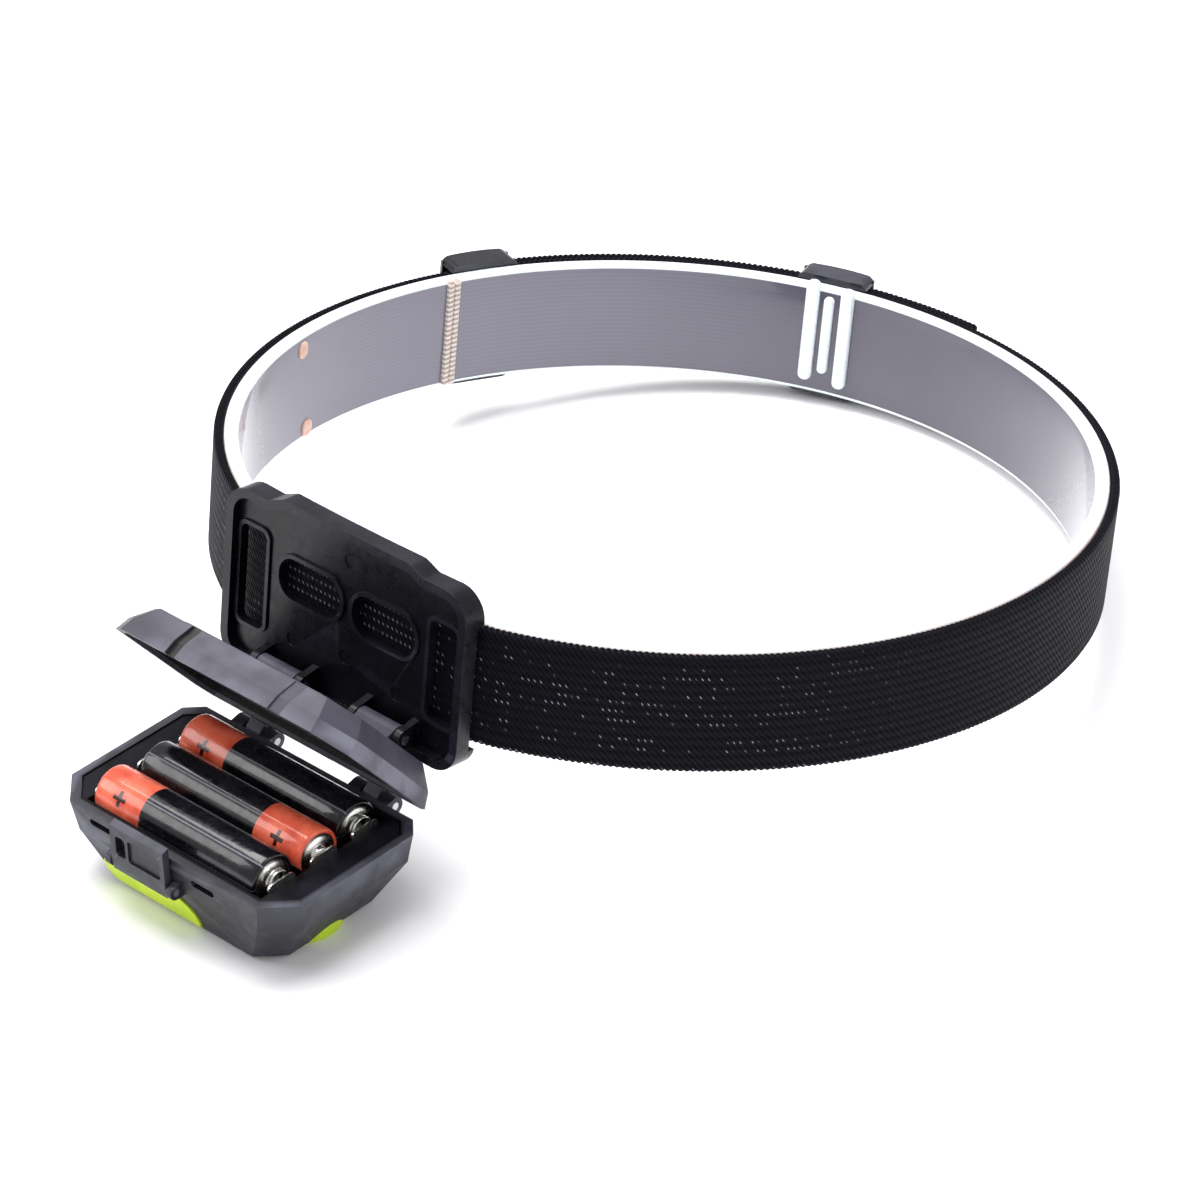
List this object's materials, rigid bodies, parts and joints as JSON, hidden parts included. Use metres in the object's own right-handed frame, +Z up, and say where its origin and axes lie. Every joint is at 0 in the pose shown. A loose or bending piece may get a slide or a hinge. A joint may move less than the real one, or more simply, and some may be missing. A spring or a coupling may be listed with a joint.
{
  "type": "headlamp",
  "caption": "Battery headlamp on an elastic headband: a tilting lamp head with a hinged rear cover, a latch, a push button and a cell bay.",
  "frame": {"origin": "middle of the footprint on the table, as the open headlamp stands on its front bezel and on the rear lower edge of the band", "axes": "+Z up, +Y from the lamp to the back of the band, +X along the cells"},
  "size_m": [0.1786, 0.2389, 0.064],
  "materials": {
    "strap": "black knitted elastic",
    "liner": "milky clear plastic, polished rim",
    "slider": "black, fine grain",
    "bracket": "near-black, semi-gloss",
    "pin": "bright steel",
    "cover": "mid grey, satin",
    "rubber": "black",
    "housing": "dark grey, satin",
    "tray": "black",
    "cell": null,
    "contact": "nickel plated",
    "board": "white solder mask",
    "spreader": "plain",
    "emitter": "phosphor yellow on a white body",
    "reflector": "metallised",
    "lens": "clear",
    "lime": "lime green"
  },
  "bodies": {
    "bracket": {"headband_strap": "strap", "band_liner": "liner", "strap_second_layer": "strap", "strap_tail": "strap", "slider_left": "slider", "slider_rear": "slider", "bracket_plate": "bracket", "tilt_pins": "pin"},
    "cover": {"rear_cover": "cover", "cover_gasket": "rubber"},
    "head": {"lamp_housing": "housing", "door_pins": "pin", "battery_tray": "tray", "cell_front": "cell", "cell_middle": "cell", "cell_rear": "cell", "contact_plates": "contact", "spring_front": "contact", "spring_middle": "contact", "spring_rear": "contact", "led_board": "board", "board_screws": "pin", "heat_spreader": "spreader", "led_emitter": "emitter", "reflector": "reflector", "front_lens": "lens", "front_bezel": "lime", "lens_seal": "rubber", "tact_switch": "tray", "latch_pin": "pin"},
    "button": {"power_button": "lime"},
    "latch": {"latch_tab": "housing"}
  },
  "joints": [
    {"name": "head_tilt", "type": "hinge", "parent": "bracket", "child": "cover", "pos_m": [0, -0.07231, 0.02918], "axis": [-1, 0, 0], "range_deg": [0, 48]},
    {"name": "battery_door", "type": "hinge", "parent": "cover", "child": "head", "pos_m": [0, -0.07676, 0.01657], "axis": [-1, 0, 0], "range_deg": [0, 51]},
    {"name": "button_press", "type": "slide", "parent": "head", "child": "button", "axis": [0, 1, 0], "range_m": [0, 0.0004], "stiffness_N_per_m": 1500, "springref_m": -0.0003},
    {"name": "latch_flex", "type": "hinge", "parent": "head", "child": "latch", "pos_m": [0, -0.11794, 0.0112], "axis": [1, 0, 0], "range_deg": [0, 8], "stiffness_Nm_per_rad": 0.05, "springref_deg": -2.86}
  ]
}
